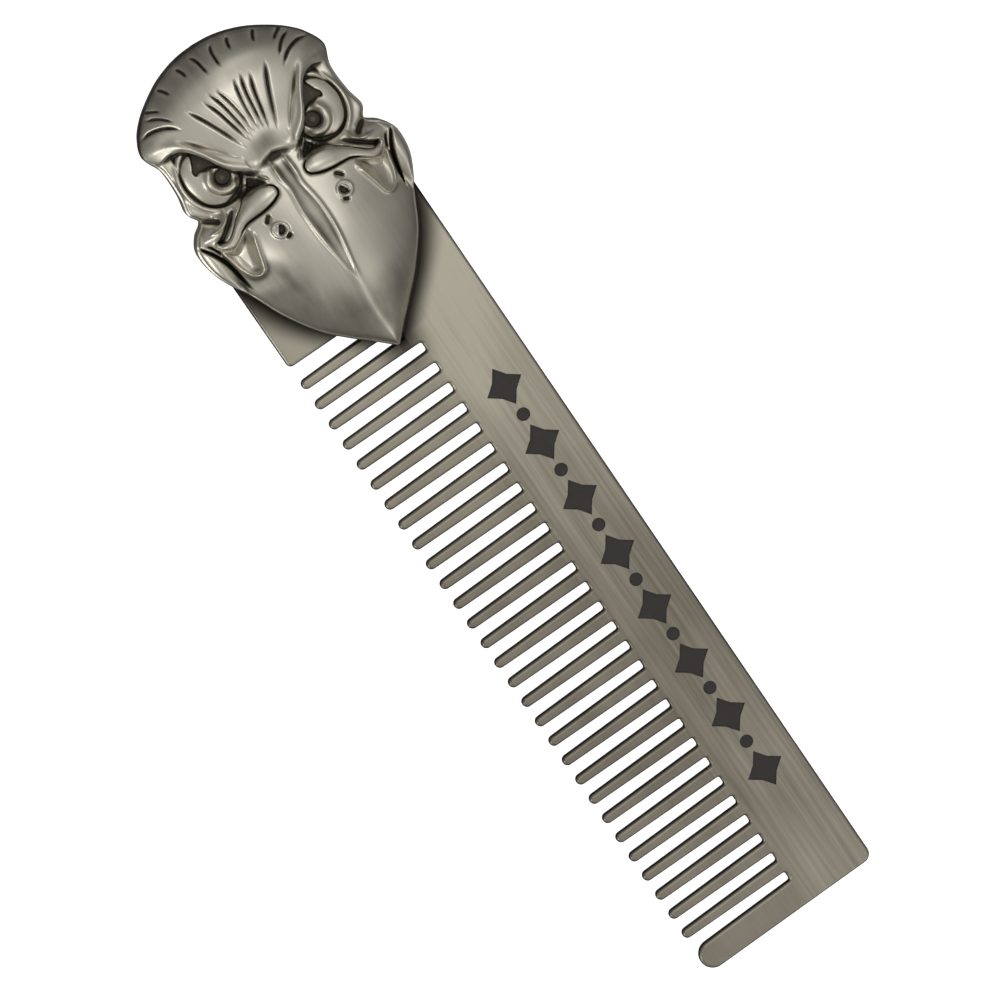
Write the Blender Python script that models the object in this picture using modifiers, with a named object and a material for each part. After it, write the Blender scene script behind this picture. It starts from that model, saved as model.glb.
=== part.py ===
"""Beard comb: a flat steel comb plate with a cast bird-of-prey head fixed over one end.

Metres, +Z up. The plate's back lies on z = 0. +X runs from the head to the far end, and +Y from the
teeth to the spine. x = 0 is the middle of the length, and y = 0 is the middle of the plate and the head.
"""

import math

import bmesh
import bpy
import numpy as np

MM = 0.001
GAP = 0.3 * MM  # kept between neighbouring pieces

# Comb plate
LENGTH = 124.8 * MM  # from the head's crest to the plate's far end
PLATE_WIDTH = 23.75 * MM
PLATE_THICKNESS = 1.2 * MM
PLATE_HIDDEN = 20.6 * MM  # how far the plate starts in from the crest, under the head
PLATE_CORNER = 1.2 * MM
EDGE_CHAMFER = 0.3 * MM

# Teeth
TOOTH_PITCH = 2.85 * MM
SLOT_COUNT = 30
SLOT_DEPTH = 14.1 * MM
SLOT_ROOT_WIDTH = 1.165 * MM
SLOT_MOUTH_WIDTH = 1.57 * MM
SLOT_ROOT_RADIUS = 0.3 * MM
GUARD_WIDTH = 3.67 * MM  # the wide tooth at the far end, at its root
FIRST_SLOT_EXTRA = 0.35 * MM  # the slot beside the solid block under the head is this much wider
COVERED_SLOTS = 2  # these end under the beak, and are shorter
COVERED_SHORTER = 1.4 * MM
BLOCK_CORNER = 0.6 * MM

# Engraved ornament along the spine: lozenges with a dot between each two
LOZENGE_COUNT = 8
LOZENGE_PITCH = 7.9 * MM
LOZENGE_LENGTH = 5.0 * MM
LOZENGE_HEIGHT = 4.8 * MM
LOZENGE_WAIST = 0.85  # how far out a side's middle lies, as a share of a straight side's
DOT_RADIUS = 0.8 * MM
ORNAMENT_X = 18.0 * MM
ORNAMENT_Y = PLATE_WIDTH / 2 - 4.7 * MM
POCKET_DEPTH = 0.65 * MM
ENAMEL_THICKNESS = 0.3 * MM

# Head casting
HEAD_LENGTH = 41.3 * MM
HEAD_BACK = PLATE_THICKNESS + GAP
GRID_PITCH = 0.72 * MM
RIM_HEIGHT = 2.2  # mm above the plate's face, where the relief meets the side wall
OUTSIDE_REACH = 0.8  # mm that the relief carries on falling past its outline, before it is trimmed
TRIM_HEIGHT = 12.0 * MM  # of the cutter that trims it, above its back: clear of its highest place

# Fastening under the head
PIN_DISTANCES = (25.0 * MM, 32.6 * MM)  # from the crest
PIN_RADIUS = 1.0 * MM
PIN_HEAD_RADIUS = 2.0 * MM
PIN_HEAD_RIM = 0.15 * MM
PIN_HEAD_HEIGHT = 0.8 * MM
PIN_RECESS = 0.1 * MM  # its head lies this far inside the plate's back
PIN_REACH = 2.3 * MM  # how far it goes into the casting
PIN_END_TAPER = 0.2 * MM
PIN_SIDES = 24
BOND_THICKNESS = 0.4 * MM
BOND_DISTANCES = (22.2 * MM, 30.0 * MM, 35.0 * MM)  # from the crest: its start, its waist and its end
BOND_WIDE = 8.2 * MM  # half its width from its start to its waist
BOND_NARROW = 3.8 * MM  # half its width at its end

CREST_X = -LENGTH / 2
FAR_END_X = LENGTH / 2
PLATE_START_X = CREST_X + PLATE_HIDDEN
SPINE_Y = PLATE_WIDTH / 2
TIP_Y = -PLATE_WIDTH / 2
ROOT_Y = TIP_Y + SLOT_DEPTH
BOND_RECESS = BOND_THICKNESS + GAP  # depth of the pocket in the casting's back


# ---------------------------------------------------------------- tools


def clear_scene():
    for obj in list(bpy.data.objects):
        bpy.data.objects.remove(obj, do_unlink=True)


def collection(name):
    made = bpy.data.collections.new(name)
    bpy.context.scene.collection.children.link(made)
    return made


def material(name, color, metallic, roughness):
    made = bpy.data.materials.new(name)
    made.use_nodes = True
    shader = made.node_tree.nodes["Principled BSDF"]
    shader.inputs["Base Color"].default_value = (*color, 1)
    shader.inputs["Metallic"].default_value = metallic
    shader.inputs["Roughness"].default_value = roughness
    return made


def place(name, mesh, where, finish=None):
    obj = bpy.data.objects.new(name, mesh)
    where.objects.link(obj)
    if finish:
        mesh.materials.append(finish)
    return obj


def as_cutter(obj):
    obj.hide_render = True
    obj.display_type = "WIRE"
    return obj


def combine(obj, operation, other):
    modifier = obj.modifiers.new(other.name, "BOOLEAN")
    modifier.operation = operation
    modifier.object = other
    modifier.solver = "EXACT"


def arc(centre, radius, start, end, steps):
    """Points along an arc, with the angles in degrees."""
    angles = np.radians(np.linspace(start, end, steps + 1))
    return [(centre[0] + radius * math.cos(t), centre[1] + radius * math.sin(t)) for t in angles]


def smooth_through(points, steps):
    """A Catmull-Rom curve through the points, open at both ends."""
    points = np.array(points, float)
    ends = 2 * points[[0, -1]] - points[[1, -2]]
    held = np.vstack([ends[:1], points, ends[1:]])
    t = np.linspace(0, 1, steps, endpoint=False)[:, None]
    spans = []
    for before, start, end, after in zip(held, held[1:], held[2:], held[3:]):
        bend = 2 * before - 5 * start + 4 * end - after
        twist = 3 * start - before - 3 * end + after
        spans.append(start + 0.5 * t * (end - before + t * (bend + t * twist)))
    return np.vstack(spans + [points[-1:]])


def extruded(name, outlines, low, high, where, finish=None):
    """A flat plate between two heights. An outline inside another one is a hole."""
    curve = bpy.data.curves.new(name, "CURVE")
    curve.dimensions = "2D"
    curve.fill_mode = "BOTH"
    half_height = (high - low) / 2
    curve.extrude = half_height
    for outline in outlines:
        spline = curve.splines.new("POLY")
        spline.points.add(len(outline) - 1)
        for point, (x, y) in zip(spline.points, outline):
            point.co = (x, y, 0, 1)
        spline.use_cyclic_u = True
    guide = bpy.data.objects.new(name, curve)
    guide.location.z = (low + high) / 2
    where.objects.link(guide)
    bpy.context.view_layer.update()
    solid = guide.evaluated_get(bpy.context.evaluated_depsgraph_get())
    mesh = bpy.data.meshes.new_from_object(solid)
    world = guide.matrix_world.copy()
    bpy.data.objects.remove(guide)
    bpy.data.curves.remove(curve)

    shape = bmesh.new()
    shape.from_mesh(mesh)
    bmesh.ops.remove_doubles(shape, verts=shape.verts, dist=1e-6)
    if len(outlines) == 1:
        for level in (half_height, -half_height):
            cap = [face for face in shape.faces if all(abs(v.co.z - level) < 1e-6 for v in face.verts)]
            bmesh.ops.dissolve_faces(shape, faces=cap)
    bmesh.ops.recalc_face_normals(shape, faces=shape.faces)
    shape.to_mesh(mesh)
    shape.free()
    obj = place(name, mesh, where, finish)
    obj.matrix_world = world
    return obj


def turned(name, profile, x, where, finish=None):
    """A round piece about a vertical axis. The profile runs down its outer side, top to bottom."""
    mesh = bpy.data.meshes.new(name)
    edges = [(i, i + 1) for i in range(len(profile) - 1)]
    mesh.from_pydata([(radius, 0, z) for radius, z in profile], edges, [])
    obj = place(name, mesh, where, finish)
    obj.location.x = x
    screw = obj.modifiers.new("turn", "SCREW")
    screw.steps = screw.render_steps = PIN_SIDES
    screw.use_merge_vertices = True
    screw.merge_threshold = 1e-5
    screw.use_smooth_shade = False
    return obj


# ---------------------------------------------------------------- comb plate


def half_slot(y):
    """Half a slot's width, which grows towards the tips."""
    share = (ROOT_Y - y) / SLOT_DEPTH
    return (SLOT_ROOT_WIDTH + share * (SLOT_MOUTH_WIDTH - SLOT_ROOT_WIDTH)) / 2


def slot_centres():
    last = FAR_END_X - GUARD_WIDTH - SLOT_ROOT_WIDTH / 2
    return [last - i * TOOTH_PITCH for i in range(SLOT_COUNT)]


def slot_root(number, centre, extra):
    """The two rounded corners at the inner end of a slot, from its +X wall to its -X wall."""
    y = ROOT_Y - SLOT_ROOT_RADIUS
    if number >= SLOT_COUNT - COVERED_SLOTS:
        y -= COVERED_SHORTER
    reach = half_slot(y) - SLOT_ROOT_RADIUS
    right = arc((centre + reach, y), SLOT_ROOT_RADIUS, 0, 90, 3)
    left = arc((centre - reach - extra, y), SLOT_ROOT_RADIUS, 90, 180, 3)
    return right + left


def tooth_tip(left, right, steps):
    """A round tip between a tooth's two sides, from its +X side to its -X side."""
    radius = (right - left) / 2
    return arc(((left + right) / 2, TIP_Y + radius), radius, 0, -180, steps)


def plate_outline():
    corner = PLATE_CORNER
    points = arc((PLATE_START_X + corner, SPINE_Y - corner), corner, 180, 90, 3)
    points += arc((FAR_END_X - corner, SPINE_Y - corner), corner, 90, 0, 4)
    centres = slot_centres()
    mouth = half_slot(TIP_Y)
    points += tooth_tip(centres[0] + mouth, FAR_END_X, 10)
    for number, (centre, beyond) in enumerate(zip(centres, centres[1:])):
        points += slot_root(number, centre, 0)
        points += tooth_tip(beyond + mouth, centre - mouth, 6)
    points += slot_root(SLOT_COUNT - 1, centres[-1], FIRST_SLOT_EXTRA)
    block_x = centres[-1] - mouth - FIRST_SLOT_EXTRA - BLOCK_CORNER
    points += arc((block_x, TIP_Y + BLOCK_CORNER), BLOCK_CORNER, 0, -90, 3)
    points += arc((PLATE_START_X + corner, TIP_Y + corner), corner, -90, -180, 3)
    return points


def lozenge(centre_x, size):
    """A four-pointed lozenge with hollow sides, as a share of its full size."""
    length = size * LOZENGE_LENGTH / 2
    height = size * LOZENGE_HEIGHT / 2
    points = []
    for turn in range(4):
        corner = math.radians(90 * turn)
        middle = corner + math.radians(45)
        points.append((length * math.cos(corner), height * math.sin(corner)))
        reach = LOZENGE_WAIST * math.sqrt(0.5)
        points.append((length * reach * math.cos(middle), height * reach * math.sin(middle)))
    return [(centre_x + x, ORNAMENT_Y + y) for x, y in points]


def dot(centre_x, radius):
    return arc((centre_x, ORNAMENT_Y), radius, 0, 345, 23)


def lozenge_places():
    first = ORNAMENT_X - LOZENGE_PITCH * (LOZENGE_COUNT - 1) / 2
    return [first + i * LOZENGE_PITCH for i in range(LOZENGE_COUNT)]


def dot_places():
    return [x + LOZENGE_PITCH / 2 for x in lozenge_places()[:-1]]


def pocket_outlines():
    return [lozenge(x, 1) for x in lozenge_places()] + [dot(x, DOT_RADIUS) for x in dot_places()]


def comb_plate(parts, cutters, steel):
    plate = extruded("comb_plate", [plate_outline()], 0, PLATE_THICKNESS, parts, steel)
    chamfer = plate.modifiers.new("chamfer", "BEVEL")
    chamfer.width = EDGE_CHAMFER
    chamfer.segments = 1
    chamfer.limit_method = "ANGLE"
    chamfer.angle_limit = math.radians(60)

    floor = PLATE_THICKNESS - POCKET_DEPTH
    pockets = extruded("pocket_cutter", pocket_outlines(), floor, 2 * PLATE_THICKNESS, cutters)
    combine(plate, "DIFFERENCE", as_cutter(pockets))
    for number, distance in enumerate(PIN_DISTANCES, 1):
        hole = turned(f"plate_hole_cutter_{number}", countersink_profile(), CREST_X + distance, cutters)
        combine(plate, "DIFFERENCE", as_cutter(hole))


def enamel_fills(parts, enamel):
    """One fill in each pocket, clear of the pocket's walls and floor."""
    high = PLATE_THICKNESS
    low = high - ENAMEL_THICKNESS
    nearest = LOZENGE_WAIST * min(LOZENGE_LENGTH, LOZENGE_HEIGHT) / 4
    size = 1 - GAP / nearest
    for number, x in enumerate(lozenge_places(), 1):
        extruded(f"enamel_lozenge_{number:02d}", [lozenge(x, size)], low, high, parts, enamel)
    for number, x in enumerate(dot_places(), 1):
        extruded(f"enamel_dot_{number:02d}", [dot(x, DOT_RADIUS - GAP)], low, high, parts, enamel)


# ---------------------------------------------------------------- head casting

# Half of the head's outline, in mm: distance from the crest, and half width there
HALF_OUTLINE = [
    (0.0, 0.0),
    (0.15, 2.0),
    (0.8, 4.5),
    (2.6, 8.3),
    (5.3, 11.25),
    (8.0, 12.25),
    (10.6, 11.45),
    (13.2, 11.4),
    (15.4, 11.75),
    (17.0, 11.25),
    (18.8, 12.55),
    (21.2, 13.45),
    (23.9, 12.95),
    (26.4, 11.6),
    (28.4, 10.5),
    (31.2, 9.15),
    (34.8, 6.65),
    (37.3, 4.25),
    (39.2, 2.2),
    (41.3, 0.0),
]

# Heights above the plate's face along the middle of the head, in mm: distance from the crest, height
PROFILE = [
    (0.0, 5.4),
    (3.0, 5.9),
    (8.0, 6.1),
    (12.5, 5.9),
    (14.2, 6.3),
    (15.6, 5.3),
    (19.0, 6.3),
    (23.0, 7.4),
    (26.5, 7.6),
    (31.0, 6.9),
    (35.5, 5.6),
    (39.0, 4.2),
    (41.3, 3.0),
]

# The brow's lower edge, in mm: distance from the middle line, distance from the crest
BROW_EDGE = [(0, 14.9), (2.2, 15.0), (4.5, 13.8), (5.9, 11.6), (7.4, 9.7), (8.7, 8.9), (10.0, 8.9), (14, 9.6)]

# The eye, in mm: its middle as distances from the crest and from the middle line, and its half sizes
EYE = (13.2, 7.1)
EYE_REACH = (3.4, 2.9)
SOCKET_FLOOR = 2.6
EYE_SWELL = 1.7  # how far the eyeball stands out of its socket
LID_HEIGHT = 3.7
LID_REACH = 3.8  # how far the lid's top runs from the eye's middle
LID_STRETCH = 1.15  # how much longer than wide the lid's run is

# Sides of the mouth, in mm
GAPE_SIDE = 11.2  # from the middle, where the beak ends and the cheek starts
CHEEK = (21.5, 12.0)  # the cheek's highest place: from the crest, from the middle
CHEEK_HEIGHT = 3.3

# The fleshy lobe between the eye and the beak, in mm: distances from the crest and from the middle, radius
LOBE = [(17.9, 2.4, 0.8), (18.2, 4.0, 1.0), (18.9, 6.8, 0.6), (20.1, 8.4, 0.45), (20.8, 9.7, 0.4)]


def outline_of_head():
    side = smooth_through(HALF_OUTLINE, 5) * MM
    points = [(CREST_X + along, across) for along, across in side]
    mirrored = [(x, -y) for x, y in reversed(points[1:-1])]
    return points + mirrored


def ease(value, low, high):
    share = np.clip((value - low) / (high - low), 0, 1)
    return share * share * (3 - 2 * share)


def lower_of(first, second, blend):
    """The lower of two surfaces, with a fillet about as wide as the blend."""
    return -higher_of(-first, -second, blend)


def higher_of(first, second, blend):
    return (first + second + np.sqrt((first - second) ** 2 + blend**2)) / 2


def distance_inside(along, across):
    """Distance in from the outline, in mm, falling below zero just outside it."""
    side = smooth_through(HALF_OUTLINE, 12)
    away = np.hypot(along[:, None] - side[:, 0], across[:, None] - side[:, 1]).min(axis=1)
    half = np.interp(along, side[:, 0], side[:, 1])
    inside = (across < half) & (along > 0) & (along < HEAD_LENGTH / MM)
    return np.where(inside, away, -np.minimum(away, OUTSIDE_REACH))


def eye_height(along, across):
    """The socket with the eyeball in it and the raised lid round its outer side."""
    ball = 1 - ((along - EYE[0]) / EYE_REACH[0]) ** 2 - ((across - EYE[1]) / EYE_REACH[1]) ** 2
    socket = SOCKET_FLOOR + EYE_SWELL * np.sqrt(np.clip(ball, 0, None))
    away = np.hypot((along - EYE[0]) / LID_STRETCH, across - EYE[1])
    lid = LID_HEIGHT - 0.5 * (away - LID_REACH) ** 2
    return np.maximum(socket, lid)


def lobe_height(along, across):
    found = np.zeros_like(along)
    route = smooth_through(LOBE, 6)
    for centre, middle, radius in route:
        away = np.hypot(along - centre, across - middle)
        found = np.maximum(found, np.sqrt(np.clip(radius**2 - away**2, 0, None)))
    return found


def relief(along, across):
    """The casting's front in mm above the plate's face, from distances along and across in mm."""
    middle = np.interp(along, *np.array(smooth_through(PROFILE, 6)).T)
    width = np.interp(along, *np.array(HALF_OUTLINE).T)
    inward = distance_inside(along, across)

    skull = middle - 0.02 * across**2
    gape = GAPE_SIDE - 0.35 * np.clip(along - 24, -4, 0)
    share = np.clip(across / np.minimum(np.maximum(width, 0.5), gape), 0, 1)
    beak = RIM_HEIGHT + (middle - RIM_HEIGHT) * (1 - share**1.8) ** 0.8
    cheek = CHEEK_HEIGHT - 0.5 * (across - CHEEK[1]) ** 2 - 0.06 * (along - CHEEK[0]) ** 2
    lower = np.maximum(beak, cheek) + lobe_height(along, across)

    face = eye_height(along, across)
    face = face + (lower - face) * ease(along, 15.6, 18.2)
    face = face + (lower - face) * ease(across, 4.4, 2.2) * ease(along, 14.4, 16.0)
    brow = np.interp(across, *np.array(smooth_through(BROW_EDGE, 6)).T)
    surface = face + (skull - face) * ease(brow - along, -0.4, 0.5)

    slope = 1.15 + 1.2 * ease(along, 8, 11)
    edge = RIM_HEIGHT + slope * inward
    return lower_of(surface, edge, 0.5)


def head_casting(parts, cutters, alloy):
    """A grid raised to the relief and closed underneath, trimmed to the head's outline."""
    margin = 2 * GRID_PITCH
    length = HEAD_LENGTH + 2 * margin
    width = 2 * (max(half for _, half in HALF_OUTLINE) * MM + margin)
    shape = bmesh.new()
    bmesh.ops.create_grid(
        shape,
        x_segments=round(length / GRID_PITCH),
        y_segments=2 * round(width / GRID_PITCH / 2),
        size=0.5,
    )
    flat = np.array([v.co for v in shape.verts])
    along = (flat[:, 0] * length + HEAD_LENGTH / 2) / MM
    across = np.abs(flat[:, 1]) * width / MM
    heights = PLATE_THICKNESS + relief(along, across) * MM
    for vertex, (x, y, _), z in zip(shape.verts, flat, heights):
        vertex.co = (CREST_X + HEAD_LENGTH / 2 + x * length, y * width, z)

    rim = [edge for edge in shape.edges if edge.is_boundary]
    wall = bmesh.ops.extrude_edge_only(shape, edges=rim)["geom"]
    for vertex in wall:
        if isinstance(vertex, bmesh.types.BMVert):
            vertex.co.z = 0
    bmesh.ops.edgeloop_fill(shape, edges=[item for item in wall if isinstance(item, bmesh.types.BMEdge)])
    bmesh.ops.recalc_face_normals(shape, faces=shape.faces)
    mesh = bpy.data.meshes.new("head_casting")
    shape.to_mesh(mesh)
    shape.free()
    head = place("head_casting", mesh, parts, alloy)

    top = HEAD_BACK + TRIM_HEIGHT
    outline = extruded("head_outline_cutter", [outline_of_head()], HEAD_BACK, top, cutters)
    combine(head, "INTERSECT", as_cutter(outline))
    recess = extruded(
        "bond_recess_cutter", [bond_outline(GAP)], 0, HEAD_BACK + BOND_RECESS, cutters
    )
    combine(head, "DIFFERENCE", as_cutter(recess))
    for number, distance in enumerate(PIN_DISTANCES, 1):
        hole = turned(f"head_hole_cutter_{number}", blind_hole_profile(), CREST_X + distance, cutters)
        combine(head, "DIFFERENCE", as_cutter(hole))


# ---------------------------------------------------------------- fastening


def bond_outline(grown):
    """The adhesive's outline, wide under the cheeks and narrow towards the beak's tip."""
    start, waist, end = (CREST_X + distance for distance in BOND_DISTANCES)
    start -= grown
    end += grown
    wide = BOND_WIDE + grown
    narrow = BOND_NARROW + grown
    return [(start, -wide), (waist, -wide), (end, -narrow), (end, narrow), (waist, wide), (start, wide)]


def adhesive_bond(parts, adhesive):
    holes = [
        arc((CREST_X + distance, 0), PIN_RADIUS + GAP, 0, 345, 23) for distance in PIN_DISTANCES
    ]
    low = HEAD_BACK
    extruded("adhesive_bond", [bond_outline(0)] + holes, low, low + BOND_THICKNESS, parts, adhesive)


def pin_profile():
    top = HEAD_BACK + PIN_REACH
    return [
        (0, top),
        (PIN_RADIUS - PIN_END_TAPER, top),
        (PIN_RADIUS, top - PIN_END_TAPER),
        (PIN_RADIUS, PIN_RECESS + PIN_HEAD_HEIGHT),
        (PIN_HEAD_RADIUS, PIN_RECESS + PIN_HEAD_RIM),
        (PIN_HEAD_RADIUS, PIN_RECESS),
        (0, PIN_RECESS),
    ]


def countersink_profile():
    """The pin's hole through the plate, a gap wider than the pin all round."""
    beyond = PLATE_THICKNESS
    return [
        (0, PLATE_THICKNESS + beyond),
        (PIN_RADIUS + GAP, PLATE_THICKNESS + beyond),
        (PIN_RADIUS + GAP, PIN_RECESS + PIN_HEAD_HEIGHT + GAP / 2),
        (PIN_HEAD_RADIUS + GAP, PIN_RECESS + PIN_HEAD_RIM + GAP / 2),
        (PIN_HEAD_RADIUS + GAP, -beyond),
        (0, -beyond),
    ]


def blind_hole_profile():
    top = HEAD_BACK + PIN_REACH + GAP
    return [(0, top), (PIN_RADIUS + GAP, top), (PIN_RADIUS + GAP, 0), (0, 0)]


def drive_pins(parts, steel):
    for number, distance in enumerate(PIN_DISTANCES, 1):
        pin = turned(f"drive_pin_{number}", pin_profile(), CREST_X + distance, parts, steel)
        pin.data.shade_smooth()


# ---------------------------------------------------------------- the whole comb


def main():
    clear_scene()
    parts = collection("beard_comb")
    cutters = collection("cutters")
    steel = material("brushed_steel", (0.46, 0.44, 0.40), 1.0, 0.36)
    alloy = material("antique_nickel", (0.40, 0.38, 0.35), 1.0, 0.30)
    enamel = material("black_enamel", (0.030, 0.026, 0.022), 0.0, 0.55)
    adhesive = material("epoxy", (0.55, 0.50, 0.36), 0.0, 0.45)
    comb_plate(parts, cutters, steel)
    enamel_fills(parts, enamel)
    head_casting(parts, cutters, alloy)
    adhesive_bond(parts, adhesive)
    drive_pins(parts, steel)


main()
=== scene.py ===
"""Looks of the beard comb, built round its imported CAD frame.

Row frame, metres: +X from the head to the far end, +Y from the teeth to the spine, +Z out of the front.
On the head, lengths are in mm: along is the distance from the crest, side the distance from the middle.
"""

import math

import bmesh
import bpy
import numpy as np
from mathutils import Matrix, Vector


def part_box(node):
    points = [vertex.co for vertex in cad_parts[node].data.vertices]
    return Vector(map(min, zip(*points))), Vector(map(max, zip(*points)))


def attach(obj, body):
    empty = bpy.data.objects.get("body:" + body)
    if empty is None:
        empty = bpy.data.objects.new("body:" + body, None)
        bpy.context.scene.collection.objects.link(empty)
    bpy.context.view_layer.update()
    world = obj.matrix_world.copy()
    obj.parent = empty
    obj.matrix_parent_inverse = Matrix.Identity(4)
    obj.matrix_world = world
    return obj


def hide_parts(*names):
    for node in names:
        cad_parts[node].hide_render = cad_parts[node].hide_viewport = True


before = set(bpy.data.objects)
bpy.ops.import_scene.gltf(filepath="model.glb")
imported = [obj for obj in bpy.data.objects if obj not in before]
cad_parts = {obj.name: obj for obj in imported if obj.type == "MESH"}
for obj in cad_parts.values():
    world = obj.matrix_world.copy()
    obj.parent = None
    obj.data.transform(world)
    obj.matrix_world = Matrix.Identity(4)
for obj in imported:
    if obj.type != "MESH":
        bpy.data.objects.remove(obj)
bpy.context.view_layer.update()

MM = 0.001
PLATE_LOW, PLATE_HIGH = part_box("comb_plate")
HEAD_LOW, HEAD_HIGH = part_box("head_casting")
CREST_X = HEAD_LOW.x
FACE_Z = PLATE_HIGH.z
HEAD_LENGTH = (HEAD_HIGH.x - HEAD_LOW.x) / MM

# Teeth and edges of the plate, as in the CAD part
TOOTH_PITCH = 2.85 * MM
SLOT_COUNT = 30
SLOT_DEPTH = 14.1 * MM
SLOT_ROOT_WIDTH = 1.165 * MM
SLOT_MOUTH_WIDTH = 1.57 * MM
SLOT_ROOT_RADIUS = 0.3 * MM
GUARD_WIDTH = 3.67 * MM
FIRST_SLOT_EXTRA = 0.35 * MM
COVERED_SLOTS = 2
COVERED_SHORTER = 1.4 * MM
BLOCK_CORNER = 0.6 * MM
PLATE_CORNER = 1.2 * MM
EDGE_ROUND = 0.42 * MM
ROOT_Y = PLATE_LOW.y + SLOT_DEPTH

# Engraving, as in the CAD part, with its enamel a little below the face
LOZENGE_LENGTH = 5.0 * MM
LOZENGE_HEIGHT = 4.8 * MM
LOZENGE_WAIST = 0.85
DOT_RADIUS = 0.8 * MM
POCKET_DEPTH = 0.45 * MM
ENAMEL_SINK = 0.14 * MM
ENAMEL_CLEARANCE = 0.01 * MM  # from the pocket's walls, and half of it from its floor
ENAMEL_STEP = 0.15 * MM  # in from the edge, three times
ENAMEL_SAG = 0.015 * MM  # at each step

# Fastening, as in the CAD part but without its gaps
PIN_RADIUS = 1.0 * MM
PIN_HEAD_RADIUS = 2.0 * MM
PIN_HEAD_RIM = 0.15 * MM
PIN_HEAD_HEIGHT = 0.8 * MM
PIN_ROUND = 0.08 * MM
PIN_SIDES = 48
CLEARANCE = 0.02 * MM
CUTTER_REACH = 1.0 * MM  # past the plate


# ---------------------------------------------------------------- small tools


def link(name, mesh):
    obj = bpy.data.objects.new(name, mesh)
    bpy.context.scene.collection.objects.link(obj)
    return obj


def mesh_of(shape, name):
    mesh = bpy.data.meshes.new(name)
    bmesh.ops.recalc_face_normals(shape, faces=shape.faces)
    shape.to_mesh(mesh)
    shape.free()
    return mesh


def arc(centre, radius, start, end, steps):
    """Points along an arc, with the angles in degrees."""
    angles = np.radians(np.linspace(start, end, steps + 1))
    return [(centre[0] + radius * math.cos(t), centre[1] + radius * math.sin(t)) for t in angles]


def smooth_through(points, steps):
    """A Catmull-Rom curve through the points, open at both ends."""
    points = np.array(points, float)
    ends = 2 * points[[0, -1]] - points[[1, -2]]
    held = np.vstack([ends[:1], points, ends[1:]])
    t = np.linspace(0, 1, steps, endpoint=False)[:, None]
    spans = []
    for before, start, end, after in zip(held, held[1:], held[2:], held[3:]):
        bend = 2 * before - 5 * start + 4 * end - after
        twist = 3 * start - before - 3 * end + after
        spans.append(start + 0.5 * t * (end - before + t * (bend + t * twist)))
    return np.vstack(spans + [points[-1:]])


def ease(value, low, high):
    share = np.clip((value - low) / (high - low), 0, 1)
    return share * share * (3 - 2 * share)


def mix(first, second, share):
    return first + (second - first) * share


def higher_of(first, second, blend):
    return (first + second + np.sqrt((first - second) ** 2 + blend**2)) / 2


def lower_of(first, second, blend):
    return -higher_of(-first, -second, blend)


def bump(distance, width):
    """A round-topped swell of height 1, which is gone at about twice its width."""
    return np.exp(-((distance / width) ** 2))


# ---------------------------------------------------------------- the head's shape

# The casting isn't quite even: its cross lines lean, and its middle line wanders towards the beak's tip.
LEAN = 0.04
MIDDLE_LINE = [
    (0, -0.1),
    (14, 0.05),
    (22, 0.15),
    (27, 0.1),
    (31, -0.05),
    (35, -0.35),
    (38, -0.35),
    (41.3, -0.2),
]

# Half of the outline: along, side
HALF_OUTLINE = [
    (0.15, 0.0),
    (0.3, 2.0),
    (0.75, 4.0),
    (1.6, 6.15),
    (2.9, 8.3),
    (4.1, 9.85),
    (5.7, 11.25),
    (7.8, 12.05),
    (10.2, 11.2),
    (13.4, 11.25),
    (15.7, 11.65),
    (17.3, 11.0),
    (18.5, 12.35),
    (20.2, 13.3),
    (23.0, 13.1),
    (25.7, 11.95),
    (28.0, 10.7),
    (31.2, 9.15),
    (34.8, 6.65),
    (37.3, 4.25),
    (39.2, 2.2),
    (41.1, 0.25),
    (41.3, 0.0),
]

# Heights above the plate's face down the middle: along, height
SKULL_PROFILE = [(0, 5.2), (2.7, 5.6), (6.0, 6.1), (9.0, 6.15), (12.0, 5.95), (15.0, 5.9), (18, 5.6)]
BEAK_PROFILE = [
    (13.0, 5.3),
    (15.5, 5.7),
    (19.0, 6.4),
    (23.0, 7.2),
    (26.5, 7.45),
    (31.0, 6.9),
    (35.5, 5.6),
    (39.0, 4.2),
    (41.3, 3.1),
]

RIM_HEIGHT = 2.2  # at the relief's edge, where the walls start

# The brow's lower edge: side, along
BROW_EDGE = [
    (0, 14.6),
    (1.4, 14.95),
    (2.5, 15.4),
    (3.6, 14.85),
    (4.85, 13.8),
    (5.7, 12.6),
    (6.5, 11.2),
    (7.4, 9.9),
    (8.25, 9.15),
    (9.25, 8.9),
    (10.2, 9.0),
    (14, 9.9),
]

# The eye: places and half sizes as along, side
EYE_CENTRE = (13.3, 7.0)
EYE_REACH = (3.8, 3.2)
PUPIL = (14.05, 6.0)
PUPIL_RADIUS = 1.05
IRIS_RADIUS = 1.65  # to the top of its raised ring

# Where the brow shades the eyeball, which is a step down: along, side
SHADE = [
    (9.6, 7.6),
    (10.3, 7.75),
    (11.2, 8.15),
    (11.9, 8.5),
    (12.4, 8.4),
    (12.3, 7.8),
    (12.4, 7.2),
    (12.5, 6.5),
    (12.9, 5.6),
    (12.0, 5.5),
    (10.5, 6.5),
]

# The ridge along each side of the beak's flat top: along, side
CULMEN = [
    (14.8, 0.85),
    (17.4, 0.95),
    (18.8, 0.8),
    (20.8, 1.05),
    (22.5, 1.15),
    (25.5, 1.0),
    (29.6, 0.44),
    (32.0, 0.02),
]

NOSTRIL = (22.15, 4.28)  # along, side
NOSTRIL_RING = 0.85
NOSTRIL_HOLE = 0.68
CHEEK = (21.8, 12.1)  # along, side
CHEEK_HEIGHT = 3.3
GLABELLA = 13.4  # along, the swell between the brows

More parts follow.
